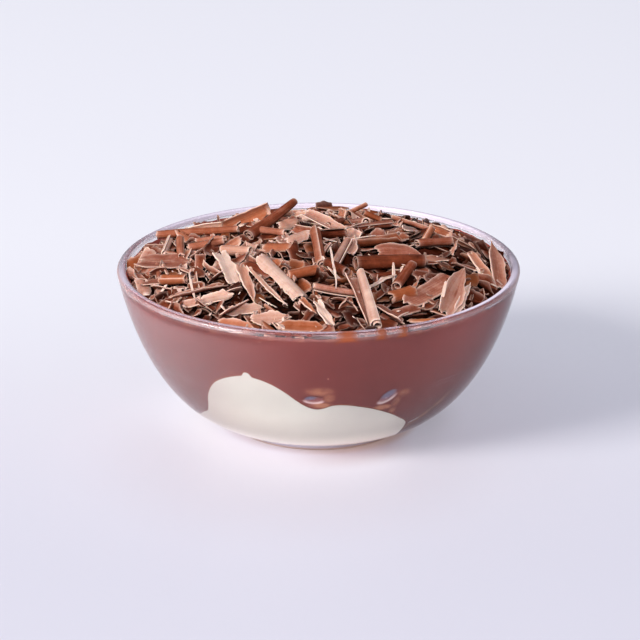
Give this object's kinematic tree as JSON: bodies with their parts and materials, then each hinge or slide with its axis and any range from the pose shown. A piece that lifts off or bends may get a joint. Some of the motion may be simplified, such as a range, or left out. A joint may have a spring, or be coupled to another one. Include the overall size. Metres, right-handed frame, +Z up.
{
  "type": "chocolate and white cream dessert in a glass bowl",
  "caption": "Clear round glass bowl filled with white cream under chocolate cream and heaped with loose curled chocolate shavings; stands on its foot ring.",
  "frame": {"origin": "centre of the bowl's foot, on the surface that it stands on", "axes": "+Z up along the bowl's axis, -Y towards the viewer of the picture, +X to the viewer's right"},
  "size_m": [0.105, 0.105, 0.0555],
  "materials": {
    "clear_glass": "polished clear pressed glass",
    "white_cream": "soft whipped cream, satin",
    "chocolate_cream": "smooth chocolate cream, satin",
    "milk_chocolate": "dull milk chocolate with pale scraped edges"
  },
  "bodies": {
    "root": {"glass_bowl": "clear_glass", "white_cream": "white_cream", "chocolate_cream": "chocolate_cream", "chocolate_shavings": "milk_chocolate"}
  },
  "joints": []
}
